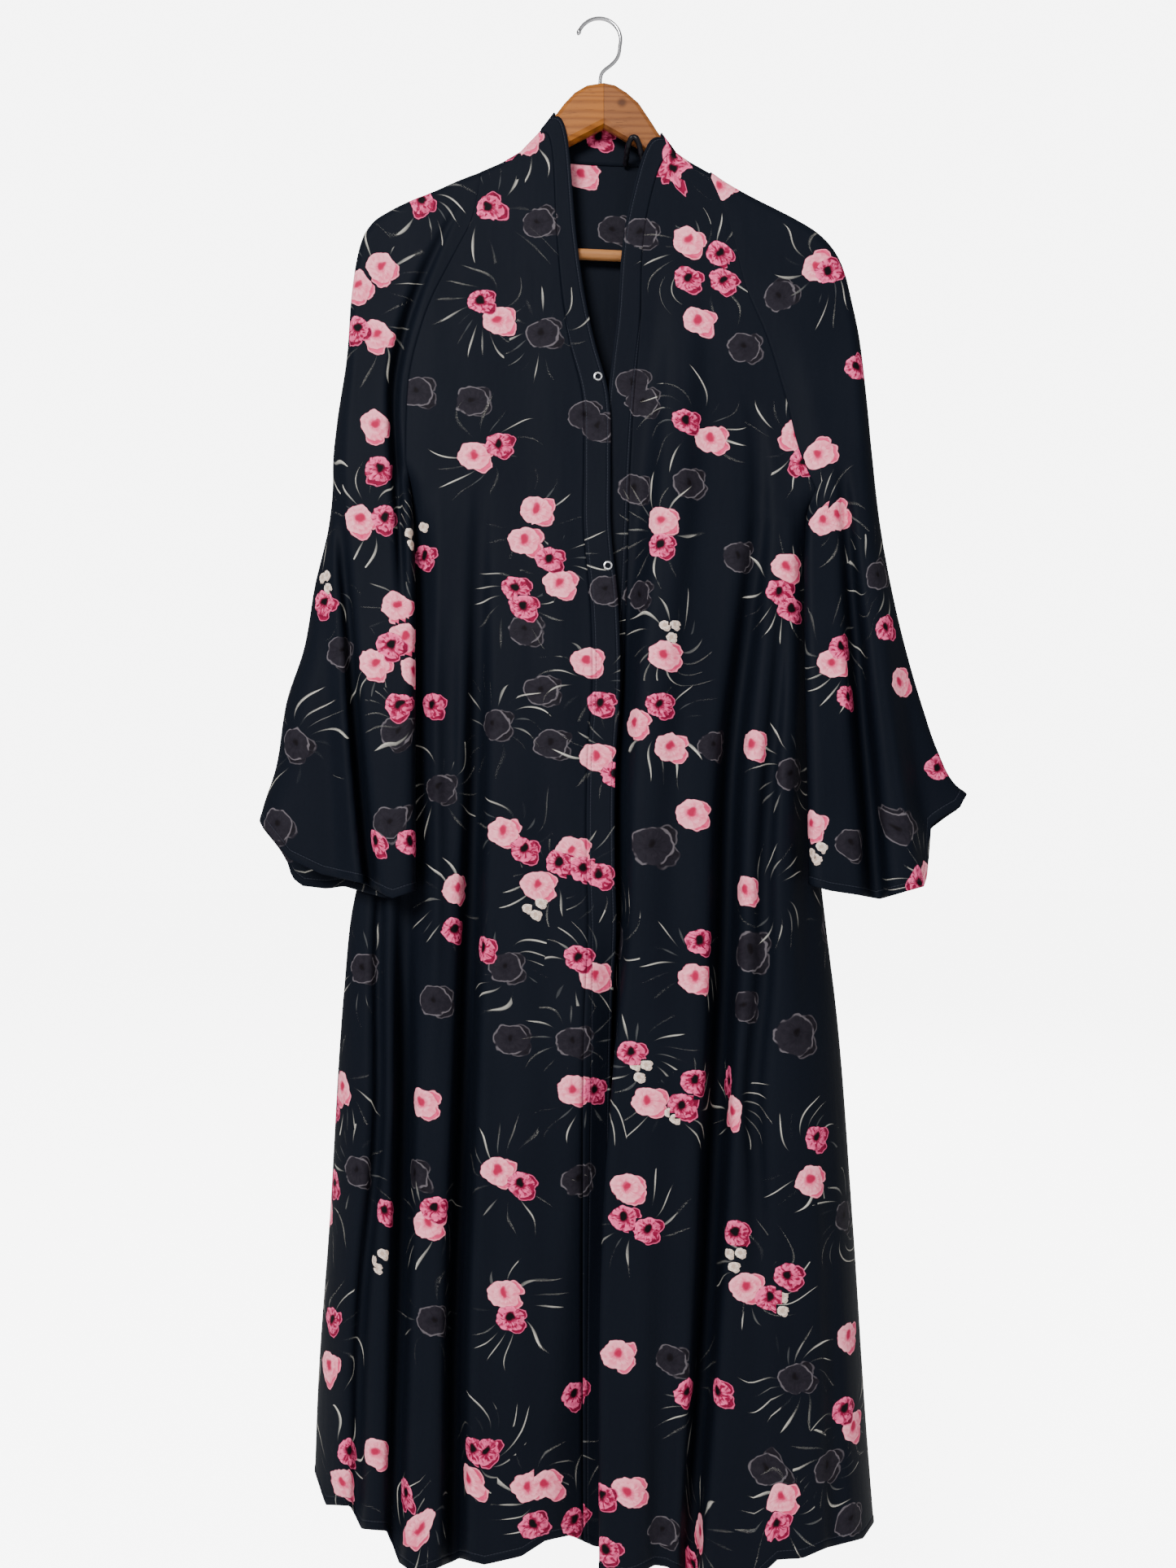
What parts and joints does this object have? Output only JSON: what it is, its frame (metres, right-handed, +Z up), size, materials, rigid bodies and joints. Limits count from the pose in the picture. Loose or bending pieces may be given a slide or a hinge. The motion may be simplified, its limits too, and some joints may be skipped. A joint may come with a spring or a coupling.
{
  "type": "abaya cloak on hanger",
  "caption": "Open-front printed abaya with raglan bell sleeves and a stand neckband, hung on a wooden hanger with a wire hook.",
  "frame": {"origin": "inside the crown of the hanger's hook, where a rail carries the whole part", "axes": "+X to the wearer's left, -Y out of the garment's front, +Z up"},
  "size_m": [0.6695, 0.102, 1.4654],
  "materials": {
    "navy_crepe": "matte printed crepe",
    "navy_crepe_band": "matte printed crepe, faced and topstitched",
    "navy_loop": "satin self-cloth cord",
    "snap_steel": "plated, satin",
    "warm_beech": "clear varnish",
    "rosy_beech": "clear varnish",
    "pale_bar": "clear varnish",
    "chrome_wire": "polished"
  },
  "bodies": {
    "root": {"front_right": "navy_crepe", "front_left": "navy_crepe", "back_panel": "navy_crepe", "sleeve_right": "navy_crepe", "sleeve_left": "navy_crepe", "band_right": "navy_crepe_band", "band_left": "navy_crepe_band", "neckband_back": "navy_crepe_band", "hanger_loop": "navy_loop", "snap_socket_upper": "snap_steel", "snap_stud_upper": "snap_steel", "snap_socket_lower": "snap_steel", "snap_stud_lower": "snap_steel", "hanger_wood_right": "warm_beech", "hanger_wood_left": "rosy_beech", "hanger_bar": "pale_bar", "hanger_hook": "chrome_wire"}
  },
  "joints": []
}
